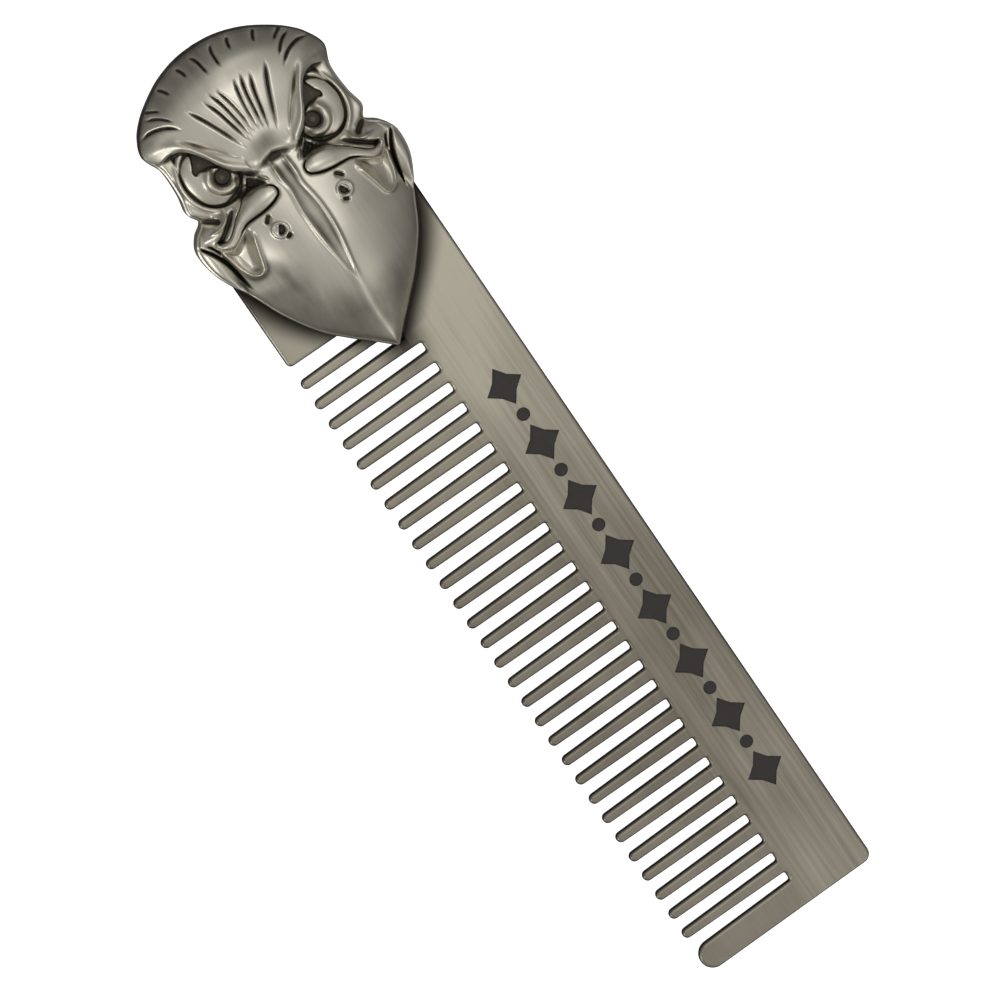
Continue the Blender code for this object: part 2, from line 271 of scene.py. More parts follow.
# The fleshy lobe between eye and beak, as balls in a row: along, side, radius
LOBE = [
    (18.1, 2.75, 0.8),
    (18.15, 3.6, 1.1),
    (18.35, 4.8, 1.15),
    (18.7, 5.9, 0.9),
    (19.15, 7.0, 0.62),
    (19.8, 7.95, 0.45),
    (20.55, 8.85, 0.42),
    (20.95, 9.75, 0.42),
    (20.7, 10.4, 0.38),
    (20.35, 10.85, 0.3),
]

FAR_OUTSIDE = -9.0  # the depth of places that are nowhere near the lobe

# The edge of the hollow between the lobe and the beak's corner: along, side
HOLLOW = [
    (20.4, 6.9),
    (21.6, 7.2),
    (22.9, 7.55),
    (24.2, 7.9),
    (25.2, 8.25),
    (25.5, 8.9),
    (25.1, 9.7),
    (23.85, 10.3),
    (22.45, 10.65),
    (21.3, 10.85),
    (21.6, 9.8),
    (20.6, 8.6),
    (20.0, 7.4),
]

# The slot between the beak and the cheek: along, side
GAPE = [
    (19.4, 12.9),
    (20.05, 12.5),
    (21.15, 11.8),
    (22.5, 11.24),
    (23.9, 10.9),
    (25.4, 10.63),
    (27.0, 10.45),
]

# Grooves and ridges drawn on the relief: points (along, side), half width, height, and which ends taper
STROKES = [
    # crest feathers
    ([(0.7, 1.54), (1.45, 1.03), (2.5, 0.86), (3.4, 0.8)], 0.14, -0.34, "both"),
    ([(1.05, 3.5), (1.65, 3.08), (2.5, 2.88)], 0.14, -0.32, "both"),
    ([(1.95, 6.45), (2.45, 5.95), (3.2, 5.48)], 0.14, -0.32, "both"),
    ([(3.4, 9.2), (3.75, 8.25), (4.2, 7.4)], 0.13, -0.3, "both"),
    ([(4.2, 9.8), (4.57, 8.45), (5.14, 7.62), (5.9, 6.9)], 0.16, -0.38, "both"),
    ([(6.05, 11.4), (5.65, 9.9), (5.78, 8.63), (6.25, 7.6), (7.1, 6.6)], 0.18, -0.45, "both"),
    # fan of creases on the forehead
    ([(5.1, 5.4), (7.2, 4.25), (9.4, 3.25), (12.7, 1.95)], 0.20, -0.42, "both"),
    ([(5.2, 3.2), (7.25, 2.4), (9.4, 1.9), (12.2, 1.25)], 0.17, -0.38, "both"),
    ([(4.7, 2.25), (6.7, 1.57), (9.2, 1.17), (11.9, 0.8)], 0.16, -0.34, "both"),
    ([(4.8, 1.25), (6.7, 0.75), (8.9, 0.42), (11.8, 0.3)], 0.15, -0.3, "both"),
    # groove above the brow's roll
    ([(7.3, 8.2), (9.5, 6.3), (11.15, 4.9), (13.5, 3.0)], 0.26, -0.28, "both"),
    # lid round the eye
    (
        [
            (9.3, 9.3),
            (10.6, 9.7),
            (12.0, 10.02),
            (13.3, 10.1),
            (14.65, 9.8),
            (15.65, 9.4),
            (16.4, 8.68),
            (16.95, 7.43),
            (16.6, 6.1),
            (15.9, 4.9),
            (15.0, 4.3),
        ],
        0.15,
        -0.24,
        "end",
    ),
    # ridge under the eye, with the pouch on its far side and a deep valley up to the lobe
    ([(16.6, 8.1), (17.85, 8.36), (18.5, 9.0), (18.8, 9.96), (18.9, 11.2)], 0.22, 0.38, "both"),
    ([(16.9, 11.3), (17.5, 10.4), (18.0, 9.5), (17.7, 8.95)], 0.45, -0.75, "end"),
    ([(17.4, 6.9), (18.05, 7.6), (19.0, 8.75), (19.9, 9.9), (20.2, 10.4)], 0.34, -0.85, "start"),
    # crumpled skin at the eye's inner corner
    ([(15.1, 4.1), (15.7, 3.5), (16.1, 2.9)], 0.17, 0.45, "both"),
    ([(15.9, 4.6), (16.6, 4.5), (17.0, 3.7)], 0.15, 0.35, "both"),
    ([(15.6, 3.0), (16.2, 2.4), (16.9, 1.9)], 0.14, 0.35, "both"),
    ([(16.3, 3.4), (16.6, 2.9), (17.1, 2.5)], 0.16, -0.45, "both"),
    # holes of the nostril
    ([(20.0, 4.2), (20.5, 4.75), (21.1, 5.2)], 0.28, -0.5, "both"),
    ([(23.15, 3.7), (23.25, 3.9)], 0.25, -0.5, "none"),
    # thin crease beside the gape
    ([(19.4, 12.45), (20.2, 11.65), (21.15, 11.2), (22.3, 11.05)], 0.14, -0.40, "both"),
]


def to_even(along, across):
    """From places on the casting to places on the even head that it is drawn from."""
    along = along - LEAN * across
    return along, across - np.interp(along, *smooth_through(MIDDLE_LINE, 6).T)


def from_even(along, across):
    across = across + np.interp(along, *smooth_through(MIDDLE_LINE, 6).T)
    return along + LEAN * across, across


def segments_distance(along, side, line):
    """Distance from a broken line, and how far down the line its nearest point is."""
    away = np.full(along.shape, np.inf)
    where = np.zeros(along.shape)
    spans = len(line) - 1
    for step, (start, end) in enumerate(zip(line, line[1:])):
        run = end - start
        share = ((along - start[0]) * run[0] + (side - start[1]) * run[1]) / (run @ run)
        share = np.clip(share, 0, 1)
        found = np.hypot(along - start[0] - share * run[0], side - start[1] - share * run[1])
        nearer = found < away
        away = np.where(nearer, found, away)
        where = np.where(nearer, (step + share) / spans, where)
    return away, where


def draw_stroke(surface, along, side, points, width, height, ends):
    """Adds one groove or ridge to the surface's heights."""
    line = smooth_through(points, 8)
    low = line.min(axis=0) - 3 * width
    high = line.max(axis=0) + 3 * width
    near = (along > low[0]) & (along < high[0]) & (side > low[1]) & (side < high[1])
    away, where = segments_distance(along[near], side[near], line)
    size = np.ones(away.shape)
    if ends in ("both", "start"):
        size = size * ease(where, 0, 0.3)
    if ends in ("both", "end"):
        size = size * ease(where, 1, 0.7)
    surface[near] += height * size * bump(away, width * (0.5 + 0.5 * size))


def inside_depth(along, side, loop):
    """Distance in from a closed smooth loop, and below zero outside it."""
    line = smooth_through(np.vstack([loop, loop[:1]]), 8)
    away, _ = segments_distance(along, side, line)
    inside = np.zeros(along.shape, bool)
    for start, end in zip(line, line[1:]):
        crosses = (start[1] > side) != (end[1] > side)
        rise = end[1] - start[1] if end[1] != start[1] else 1.0
        inside ^= crosses & (along < start[0] + (side - start[1]) / rise * (end[0] - start[0]))
    return np.where(inside, away, -away)


def distance_inside(along, side):
    """Distance in from the outline, and below zero outside it."""
    edge = smooth_through(HALF_OUTLINE, 8)
    away, _ = segments_distance(along, side, edge)
    half = np.interp(along, edge[:, 0], edge[:, 1])
    inside = (side < half) & (along > edge[0, 0]) & (along < HEAD_LENGTH)
    return np.where(inside, away, -away)


def eye_share(along, side):
    """0 at the eye's centre and 1 at the eyeball's edge."""
    return np.hypot((along - EYE_CENTRE[0]) / EYE_REACH[0], (side - EYE_CENTRE[1]) / EYE_REACH[1])


def eye(along, side):
    """The eyeball in its socket, the iris with its ring and pupil, and the lid outside them."""
    reach = eye_share(along, side)
    ball = 2.75 + 1.15 * np.sqrt(np.clip(1 - reach**2, 0, None))
    lid = 3.1 + 0.35 * bump(reach - 1.1, 0.09)
    surface = mix(ball, lid, ease(reach, 0.96, 1.04))

    # the iris: a raised crescent, open towards the brow, with a groove outside it and the pupil let into it
    from_pupil = np.hypot(along - PUPIL[0], side - PUPIL[1])
    turn = np.degrees(np.arctan2(along - PUPIL[0], side - PUPIL[1]))
    open_end = ease(turn, -75, -40) * ease(turn, 150, 110)
    crescent = bump(from_pupil - IRIS_RADIUS, 0.46) * open_end
    groove = bump(from_pupil - IRIS_RADIUS - 0.5, 0.14) * ease(turn, -5, 25) * ease(turn, 150, 110)
    surface = surface + 0.55 * crescent - 0.1 * groove
    surface = surface - 0.55 * ease(from_pupil, PUPIL_RADIUS + 0.15, PUPIL_RADIUS - 0.3)

    return surface - 0.45 * ease(inside_depth(along, side, SHADE), -0.08, 0.15)


def lobe_shape(along, side):
    """Distance in from the lobe's edge, below zero outside it, and the lobe's swell."""
    near = (along > 15.5) & (along < 23) & (side > 0.5) & (side < 12.5)
    depth = np.full(along.shape, FAR_OUTSIDE)
    swell = np.zeros(along.shape)
    for centre, middle, radius in smooth_through(LOBE, 10):
        away = np.hypot(along[near] - centre, side[near] - middle)
        depth[near] = np.maximum(depth[near], radius - away)
        swell[near] = np.maximum(swell[near], np.sqrt(np.clip(radius**2 - away**2, 0, None)))
    return depth, swell


def lobe(surface, along, side):
    """The fleshy lobe between eye and beak, tapering outwards, with a crease all round it."""
    depth, swell = lobe_shape(along, side)
    base = mix(surface, 5.5 - 0.2 * (side - 3), 0.6 * ease(depth, -0.35, 0.0))
    return base - 0.3 * bump(depth + 0.05, 0.08) + 0.62 * swell


def beak(along, side, width):
    """The beak's round sides, with a flat strip down its middle between two fine ridges."""
    middle = np.interp(along, *smooth_through(BEAK_PROFILE, 8).T)
    share = np.clip(side / np.maximum(width, 0.3), 0, 1)
    surface = RIM_HEIGHT + 0.2 + (middle - RIM_HEIGHT - 0.2) * (1 - share**1.9) ** 0.85
    crest = np.interp(along, *smooth_through(CULMEN, 8).T)
    lean_in = ease(along, 29, 33)
    height = 0.17 - 0.08 * lean_in + 0.3 * bump(along - 16.3, 1.4) + 0.1 * bump(along - 25.5, 2.5)
    ridge = height * bump(side - crest, 0.23 + 0.3 * lean_in)
    strip = 0.08 * ease(side, crest, crest * 0.4 - 0.01) * ease(along, 31.5, 28.5)
    return surface + ridge * ease(along, 41, 36) - strip


def nostril(surface, along, side):
    """A ring with a hole that a flap half covers."""
    away = np.hypot(along - NOSTRIL[0], side - NOSTRIL[1])
    across_flap = (along - NOSTRIL[0]) * 0.5 - (side - NOSTRIL[1]) * 0.87
    inside = ease(away, NOSTRIL_HOLE, 0.4)
    hole = inside * ease(across_flap, -0.25, 0.1)
    flap = inside * bump(across_flap + 0.3, 0.2)
    return surface + 0.2 * bump(away - NOSTRIL_RING, 0.18) + 0.12 * flap - 0.5 * hole


def relief(along, across):
    """Height of the casting's front above the plate's face, in mm."""
    along, across = to_even(along, across)
    side = np.abs(across)
    inward = distance_inside(along, side)
    edge = smooth_through(HALF_OUTLINE, 16)
    half = np.interp(along, edge[:, 0], edge[:, 1])

    # the skull, with a roll along the brow's edge
    skull = np.interp(along, *smooth_through(SKULL_PROFILE, 8).T) - 0.021 * side**2
    skull = skull + 0.30 * bump(along - GLABELLA, 1.4) * bump(side, 2.4)
    brow_edge = np.interp(side, *smooth_through(BROW_EDGE, 8).T)
    above_brow = (brow_edge - along) * np.where(side > 3, 0.72, 1.0)
    skull = skull + 0.56 * bump(above_brow - 0.6, 0.5) * ease(side, 1.6, 3.4) * ease(side, 10.5, 8.0)

    # the beak and the cheek outside it, with a slot between them
    gape = np.interp(along, *smooth_through(GAPE, 8).T)
    lower = beak(along, side, mix(np.minimum(half, gape), half, ease(along, 24.5, 29.0)))
    cheek = CHEEK_HEIGHT - 0.5 * (side - CHEEK[1]) ** 2 - 0.03 * (along - CHEEK[0]) ** 2
    lower = higher_of(lower, cheek, 0.1)
    slot, where = segments_distance(along, side, smooth_through(GAPE, 8))
    gape_width = 0.10 + 0.09 * bump(where - 0.4, 0.3)
    lower = lower - 1.1 * bump(slot, gape_width) * ease(where, 0.02, 0.2) * ease(where, 1, 0.7)

    # the hollow, and what stands over it
    hollow = inside_depth(along, side, HOLLOW)
    bowl = ease(hollow, 0.0, 1.1) * (1.0 - 0.7 * ease(along, 21.0, 25.0))
    lower = lower - bowl + 0.5 * bump(hollow, 0.26) * ease(along, 20.4, 21.8)
    lower = lobe(lower, along, side)
    lower = nostril(lower, along, side)

    # the eye above them, the nose between the eyes, and the skull over both
    under_eye = np.maximum(ease(along, 16.6, 18.2), ease(lobe_shape(along, side)[0], -0.3, 0.0))
    face = mix(eye(along, side), lower, under_eye)
    nose = ease(side, 4.2, 2.2) * ease(along, 14.2, 15.6)
    face = mix(face, lower, nose)
    bridge = ease(side, 3.4, 0.8)
    surface = mix(face, skull, ease(above_brow, mix(-0.16, -1.5, bridge), mix(0.22, 0.7, bridge)))

    # everything falls to the rim, more gently on the crest
    slope = mix(1.15, 2.8, ease(along, 8, 11))
    rim = RIM_HEIGHT + slope * np.maximum(inward, -1)
    surface = lower_of(surface, rim, mix(0.9, 0.45, ease(along, 7, 11)))
    for points, width, height, ends in STROKES:
        draw_stroke(surface, along, side, points, width, height, ends)
    return surface


# ---------------------------------------------------------------- head casting

RAYS = 1000
RINGS = 190
HEART = 24.0  # along, where the rings start
RIM_ROUND = 0.25

# Down the walls and in over the back: the height as a share of the rim's, and how far in
WALL_STEPS = ((0.75, 0.0), (0.5, 0.0), (0.25, 0.0), (0.05, 0.0), (0.0, 0.06), (0.0, 0.15))

CAVITY_PITCH = 0.12
CAVITY_MARGIN = 2.0  # before the crest and past the beak's tip
CAVITY_REACH = 16.0  # to each side
FINE_BLUR = 0.3
WIDE_BLUR = 0.9
WALL_FOOT_SHADE = 1.4  # painted shade at the foot of the beak's walls
# painted shade on the crest band
CREST_SHADE = 0.5
BACK_STAIN = 0.45
BOND_TAPER = 3.8 / 8.2  # the pocket's half width at its end, as a share of that at its start
BOND_WAIST = 7.8 / 12.8  # where it starts to narrow


def cavity_map():
    """How deep each place lies below its surroundings, on a regular grid, for the patina."""
    along = np.arange(-CAVITY_MARGIN, HEAD_LENGTH + CAVITY_MARGIN, CAVITY_PITCH)
    across = np.arange(-CAVITY_REACH, CAVITY_REACH, CAVITY_PITCH)
    grid_along, grid_across = np.meshgrid(along, across, indexing="ij")
    height = relief(grid_along, grid_across)

    def blurred(values, sigma):
        reach = int(3 * sigma / CAVITY_PITCH)
        taps = np.exp(-0.5 * (np.arange(-reach, reach + 1) * CAVITY_PITCH / sigma) ** 2)
        taps /= taps.sum()
        for axis in (0, 1):
            values = np.apply_along_axis(lambda row: np.convolve(row, taps, mode="same"), axis, values)
        return values

    return along, across, blurred(height, FINE_BLUR) - height, blurred(height, WIDE_BLUR) - height


def sample(along_line, across_line, values, along, across):
    """Bilinear values of a regular grid at scattered places."""
    row = np.interp(along, along_line, np.arange(len(along_line)))
    row = np.clip(row, 0, len(along_line) - 1.001)
    column = np.interp(across, across_line, np.arange(len(across_line)))
    column = np.clip(column, 0, len(across_line) - 1.001)
    top, left = row.astype(int), column.astype(int)
    down, right = row - top, column - left
    upper = values[top, left] * (1 - right) + values[top, left + 1] * right
    under = values[top + 1, left] * (1 - right) + values[top + 1, left + 1] * right
    return upper * (1 - down) + under * down


def stain_and_painted_light(along, across):
    """Above 0: patina in the pupil and in the valley under the eye, darker on the glabella and the beak's
    tip, and painted shade under the brow, on the crest band and its rim, the forehead, the beak's ridge and
    its teeth side. Below 0: polish on the lobe, the hollow's rim, the iris and the eyeball, and painted
    light on the beak's spine side.
    """
    along, across = to_even(along, across)
    side = np.abs(across)
    from_pupil = np.hypot(along - PUPIL[0], side - PUPIL[1])
    pupil = ease(from_pupil, PUPIL_RADIUS + 0.1, PUPIL_RADIUS - 0.25)
    # painted shade under the brow
    shade = ease(inside_depth(along, side, SHADE), -0.1, 0.2)
    inward = distance_inside(along, side)
    skull = ease(along, 10.5, 9.0)
    # painted shade on the crest band, its rim, the forehead, the beak's ridge and its teeth side
    crest = CREST_SHADE * ease(inward, 3.4, 1.8) * skull
    crest_rim_shade = 0.75 * ease(inward, 0.8, 0.2) * skull
    forehead = 0.42 * ease(along, 9, 5)
    valley = 0.6 * bump(along - 18.6, 0.7) * bump(side - 8.9, 0.8)
    glabella = 0.85 * bump(along - GLABELLA, 1.8) * bump(side, 2.1)
    culmen_shade = 0.5 * ease(side, 1.6, 0.8) * ease(along, 15, 17) * ease(along, 30, 25)
    tip = 0.64 * ease(along, 26, 36)
    left_cheek_shade = 0.72 * ease(across, -2, -7) * ease(along, 22.5, 27)
    painted_light_and_stain = np.maximum.reduce(
        [0.5 * pupil, 0.5 * shade, crest, crest_rim_shade, forehead, valley, glabella, culmen_shade, tip, left_cheek_shade]
    )

    # the lobe, the hollow's rim and the iris stand out, so polish brightens them, and the eyeball too;
    # painted light brightens the beak's spine side
    hollow = inside_depth(along, side, HOLLOW)
    rim = 0.5 * bump(hollow, 0.3) * ease(along, 20.4, 21.8) + 0.55 * ease(hollow, 0.0, 0.3)
    iris = 0.5 * bump(from_pupil - IRIS_RADIUS, 0.4)
    eyeball = 0.3 * ease(eye_share(along, side), 1.0, 0.8) * (1 - np.maximum(0.7 * pupil, shade))
    # painted light on the beak's spine side
    right_cheek_light = 0.3 * ease(across, 1, 4) * ease(along, 20, 23) * ease(along, 33, 28)
    polish_and_painted_light = 1.5 * ease(lobe_shape(along, side)[0], 0.0, 0.2) + rim + iris + eyeball + right_cheek_light
    return painted_light_and_stain - polish_and_painted_light


def bond_pocket(rays):
    """Where the pocket for the adhesive meets each ray from the heart, and how deep it goes."""
    low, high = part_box("adhesive_bond")
    depth = (high.z - FACE_Z) / MM
    wide = high.y / MM
    start = (low.x - CREST_X) / MM - HEART
    end = (high.x - CREST_X) / MM - HEART
    narrow = wide * BOND_TAPER
    corner = mix(start, end, BOND_WAIST)
    upper_half = [(start, wide), (corner, wide), (end, narrow)]
    outline = upper_half + [(x, -y) for x, y in reversed(upper_half)]
    turns = rays / np.hypot(*rays.T)[:, None]
    found = np.full(len(rays), np.inf)
    for first, second in zip(outline, outline[1:] + outline[:1]):
        run = np.subtract(second, first)
        across_run = turns[:, 0] * run[1] - turns[:, 1] * run[0]
        across_run = np.where(np.abs(across_run) < 1e-9, 1e-9, across_run)
        reach = (first[0] * run[1] - first[1] * run[0]) / across_run
        share = ((turns * reach[:, None] - first) @ run) / (run @ run)
        hit = (reach > 0) & (share > -1e-6) & (share < 1 + 1e-6)
        found = np.where(hit, np.minimum(found, reach), found)
    return turns * found[:, None], depth


def outline_loop():
    """The head's outline, evenly spaced, as (along, across) pairs all the way round."""
    side = smooth_through(HALF_OUTLINE, 40)
    loop = np.vstack([side, side[-2:0:-1] * (1, -1)])
    loop = np.stack(from_even(loop[:, 0], loop[:, 1]), axis=1)
    closed = np.vstack([loop, loop[:1]])
    run = np.concatenate([[0], np.cumsum(np.hypot(*np.diff(closed, axis=0).T))])
    even = np.linspace(0, run[-1], RAYS, endpoint=False)
    return np.stack([np.interp(even, run, closed[:, k]) for k in (0, 1)], axis=1)


def outward_of(loop, heart):
    """Unit vectors that point out of the outline, one at each of its points."""
    run = np.roll(loop, -1, axis=0) - np.roll(loop, 1, axis=0)
    outward = np.stack([run[:, 1], -run[:, 0]], axis=1)
    outward /= np.hypot(*outward.T)[:, None]
    return outward * np.sign((outward * (loop - heart)).sum(axis=1))[:, None]


def wall_rings(loop, heart, outward, top):
    """The rings past the relief: over the rim, down the wall, and in to the adhesive's pocket."""
    rings = []
    for turn in np.radians([30, 60, 90]):
        inset = RIM_ROUND * (1 - math.sin(turn))
        rings.append((loop - outward * inset, top - RIM_ROUND * (1 - math.cos(turn))))
    for level, inset in WALL_STEPS:
        rings.append((loop - outward * inset, (top - RIM_ROUND) * level))
    pocket, pocket_height = bond_pocket(loop - heart)
    rings.append((heart + pocket, np.zeros(RAYS)))
    rings.append((heart + pocket, np.full(RAYS, pocket_height)))
    return rings


def ring_faces(rings):
    """A fan inside the first ring, quads from each ring to the next, and a fan that closes the last."""
    here = np.arange(RAYS)
    pairs = list(zip(here, (here + 1) % RAYS))
    faces = [(0, 1 + a, 1 + b) for a, b in pairs]
    for ring in range(rings - 1):
        low = 1 + ring * RAYS
        high = low + RAYS
        faces += [(low + a, high + a, high + b, low + b) for a, b in pairs]
    last = 1 + (rings - 1) * RAYS
    centre = last + RAYS
    return faces + [(centre, last + b, last + a) for a, b in pairs]


def point_values(mesh, name, values):
    attribute = mesh.attributes.new(name, "FLOAT", "POINT")
    attribute.data.foreach_set("value", values.astype(np.float32))


def add_patina_and_painted_light(mesh, front, places, heights, rim_height):
    """What head_alloy reads: how deep each place lies, with painted shade down the beak's walls, and where
    it has patina, polish, painted light and painted shade.
    """
    along_line, across_line, fine, wide = cavity_map()
    lowness = np.clip(1 - heights / rim_height, 0, 1)
    for name, values in (("recess_fine_and_wall_shade", fine), ("recess_wide_and_wall_shade", wide)):
        # painted shade on the walls and back, darker lower down and towards the beak; the front keeps the
        # depth of its recesses
        found = WALL_FOOT_SHADE * ease(places[:, 0], 22, 27) * lowness
        found[: len(front)] = sample(along_line, across_line, values, front[:, 0], front[:, 1])
        point_values(mesh, name, found)
    painted_light_and_stain = stain_and_painted_light(places[:, 0], places[:, 1])
    point_values(mesh, "stain_and_painted_light", np.where(heights > 0, painted_light_and_stain, BACK_STAIN))


def head_casting():
    """One closed surface of rings about the heart, from the relief over the rim to the back."""
    loop = outline_loop()
    heart = np.array([HEART, 0.0])
    outward = outward_of(loop, heart)
    inner = loop - outward * RIM_ROUND
    shares = np.linspace(0, 1, RINGS + 1)[1:]
    front = np.vstack([heart[None]] + [heart + (inner - heart) * share for share in shares])
    front_heights = relief(front[:, 0], front[:, 1])
    top = front_heights[-RAYS:]
    walls = wall_rings(loop, heart, outward, top)
    ceiling = walls[-1][1][:1]

    places = np.vstack([front] + [ring for ring, _ in walls] + [heart[None]])
    heights = np.concatenate([front_heights] + [level for _, level in walls] + [ceiling])
    points = np.empty((len(places), 3))
    points[:, 0] = CREST_X + places[:, 0] * MM
    points[:, 1] = places[:, 1] * MM
    points[:, 2] = FACE_Z + heights * MM

    mesh = bpy.data.meshes.new("bird_head")
    mesh.from_pydata(points.tolist(), [], ring_faces(RINGS + len(walls)))
    shape = bmesh.new()
    shape.from_mesh(mesh)
    bmesh.ops.recalc_face_normals(shape, faces=shape.faces)
    shape.to_mesh(mesh)
    shape.free()
    mesh.shade_smooth()
    mesh.set_sharp_from_angle(angle=math.radians(60))
    add_patina_and_painted_light(mesh, front, places, heights, top.mean())
    return link("bird_head", mesh)


# ---------------------------------------------------------------- comb plate


def half_slot(y):
    share = (ROOT_Y - y) / SLOT_DEPTH
    return (SLOT_ROOT_WIDTH + share * (SLOT_MOUTH_WIDTH - SLOT_ROOT_WIDTH)) / 2


def slot_centres():
    last = PLATE_HIGH.x - GUARD_WIDTH - SLOT_ROOT_WIDTH / 2
    return [last - i * TOOTH_PITCH for i in range(SLOT_COUNT)]


def slot_root(number, centre, extra):
    """The two corners of a slot's root, which may be wider by an extra on the head's side."""
    y = ROOT_Y - SLOT_ROOT_RADIUS
    if number >= SLOT_COUNT - COVERED_SLOTS:
        y -= COVERED_SHORTER
    reach = half_slot(y) - SLOT_ROOT_RADIUS
    right = arc((centre + reach, y), SLOT_ROOT_RADIUS, 0, 90, 5)
    left = arc((centre - reach - extra, y), SLOT_ROOT_RADIUS, 90, 180, 5)
    return right + left


def tooth_tip(left, right, steps):
    radius = (right - left) / 2
    return arc(((left + right) / 2, PLATE_LOW.y + radius), radius, 0, -180, steps)


def plate_outline():
    corner = PLATE_CORNER
    start, end = PLATE_LOW.x, PLATE_HIGH.x
    low, high = PLATE_LOW.y, PLATE_HIGH.y
    points = arc((start + corner, high - corner), corner, 180, 90, 6)
    points += arc((end - corner, high - corner), corner, 90, 0, 10)
    centres = slot_centres()
    mouth = half_slot(low)
    points += tooth_tip(centres[0] + mouth, end, 28)
    for number, (centre, beyond) in enumerate(zip(centres, centres[1:])):
        points += slot_root(number, centre, 0)
        points += tooth_tip(beyond + mouth, centre - mouth, 14)
    points += slot_root(SLOT_COUNT - 1, centres[-1], FIRST_SLOT_EXTRA)
    block_x = centres[-1] - mouth - FIRST_SLOT_EXTRA - BLOCK_CORNER
    points += arc((block_x, low + BLOCK_CORNER), BLOCK_CORNER, 0, -90, 6)
    points += arc((start + corner, low + corner), corner, -90, -180, 6)
    return points


def extruded(name, outline, low, high):
    """A flat plate of one outline between two heights, with a single face on each side."""
    shape = bmesh.new()
    base = [shape.verts.new((x, y, low)) for x, y in outline]
    face = shape.faces.new(base)
    made = bmesh.ops.extrude_face_region(shape, geom=[face])["geom"]
    moved = [item for item in made if isinstance(item, bmesh.types.BMVert)]
    bmesh.ops.translate(shape, verts=moved, vec=(0, 0, high - low))
    return link(name, mesh_of(shape, name))


def cut(obj, cutter):
    modifier = obj.modifiers.new(cutter.name, "BOOLEAN")
    modifier.operation = "DIFFERENCE"
    modifier.object = cutter
    modifier.solver = "EXACT"


def bake_modifiers(obj):
    """Replaces the object's mesh with what its modifiers make of it."""
    bpy.context.view_layer.update()
    solid = obj.evaluated_get(bpy.context.evaluated_depsgraph_get())
    mesh = bpy.data.meshes.new_from_object(solid)
    obj.modifiers.clear()
    old = obj.data
    obj.data = mesh
    bpy.data.meshes.remove(old)


def soften_edges(obj, width, segments):
    bevel = obj.modifiers.new("round", "BEVEL")
    bevel.width = width
    bevel.segments = segments
    bevel.limit_method = "ANGLE"
    bevel.angle_limit = math.radians(60)
    bevel.use_clamp_overlap = False


def even_normals(obj):
    obj.data.shade_smooth()
    obj.data.set_sharp_from_angle(angle=math.radians(40))
    normals = obj.modifiers.new("normals", "WEIGHTED_NORMAL")
    normals.keep_sharp = True
    normals.weight = 100


def lozenge(centre, scale):
    length, height = scale * LOZENGE_LENGTH / 2, scale * LOZENGE_HEIGHT / 2
    points = []
    for turn in range(4):
        corner = math.radians(90 * turn)
        middle = corner + math.radians(45)
        reach = LOZENGE_WAIST * math.sqrt(0.5)
        points.append((length * math.cos(corner), height * math.sin(corner)))
        points.append((length * reach * math.cos(middle), height * reach * math.sin(middle)))
    return [(centre.x + x, centre.y + y) for x, y in points]


def round_outline(centre, radius):
    return arc((centre.x, centre.y), radius, 0, 352.5, 47)


def motif_outline(node, shrink):
    """The outline of a motif's pocket, drawn in by a length, from where its CAD fill lies."""
    low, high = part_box(node)
    centre = (low + high) / 2
    if "lozenge" in node:
        nearest = LOZENGE_WAIST * LOZENGE_HEIGHT / 4
        return lozenge(centre, 1 - shrink / nearest)
    return round_outline(centre, DOT_RADIUS - shrink)


def motif_nodes():
    return sorted(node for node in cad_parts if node.startswith("enamel_"))


def plate_cutters():
    """What the plate loses: the motifs' pockets in its face and the pins' holes."""
    floor_z = PLATE_HIGH.z - POCKET_DEPTH
    cutters = []
    for node in motif_nodes():
        cutters.append(extruded("cutter_" + node, motif_outline(node, 0), floor_z, FACE_Z + CUTTER_REACH))
    for node in pin_nodes():
        low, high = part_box(node)
        cutters.append(turned("cutter_" + node, hole_profile(low.z), (low.x + high.x) / 2))
    return cutters


def comb_plate():
    plate = extruded("steel_plate", plate_outline(), PLATE_LOW.z, PLATE_HIGH.z)
    soften_edges(plate, EDGE_ROUND, 4)
    cutters = plate_cutters()
    shape = bmesh.new()
    for cutter in cutters:
        shape.from_mesh(cutter.data)
    joined = link("cutters", mesh_of(shape, "cutters"))
    cut(plate, joined)
    bake_modifiers(plate)
    for obj in cutters + [joined]:
        bpy.data.objects.remove(obj)
    even_normals(plate)
    return plate


def pin_nodes():
    return [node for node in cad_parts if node.startswith("drive_pin")]


def turned(name, profile, x):
    """A round solid about a vertical axis. The profile runs from one end of the axis to the other."""
    shape = bmesh.new()
    corners = [shape.verts.new((x + radius, 0, z)) for radius, z in profile]
    edges = [shape.edges.new(pair) for pair in zip(corners, corners[1:])]
    bmesh.ops.spin(
        shape,
        geom=corners + edges,
        cent=(x, 0, 0),
        axis=(0, 0, 1),
        angle=math.radians(360),
        steps=PIN_SIDES,
        use_merge=True,
    )
    bmesh.ops.remove_doubles(shape, verts=shape.verts, dist=0.001 * MM)
    return link(name, mesh_of(shape, name))


def pin_profile(low, high):
    """From the shank's far end down to the countersunk head, with the sharp corners taken off."""
    neck = low + PIN_HEAD_HEIGHT
    rim = low + PIN_HEAD_RIM
    return [
        (0, high),
        (PIN_RADIUS - 2 * PIN_ROUND, high),
        (PIN_RADIUS, high - 2 * PIN_ROUND),
        (PIN_RADIUS, neck),
        (PIN_HEAD_RADIUS, rim),
        (PIN_HEAD_RADIUS, low + PIN_ROUND),
        (PIN_HEAD_RADIUS - PIN_ROUND, low),
        (0, low),
    ]


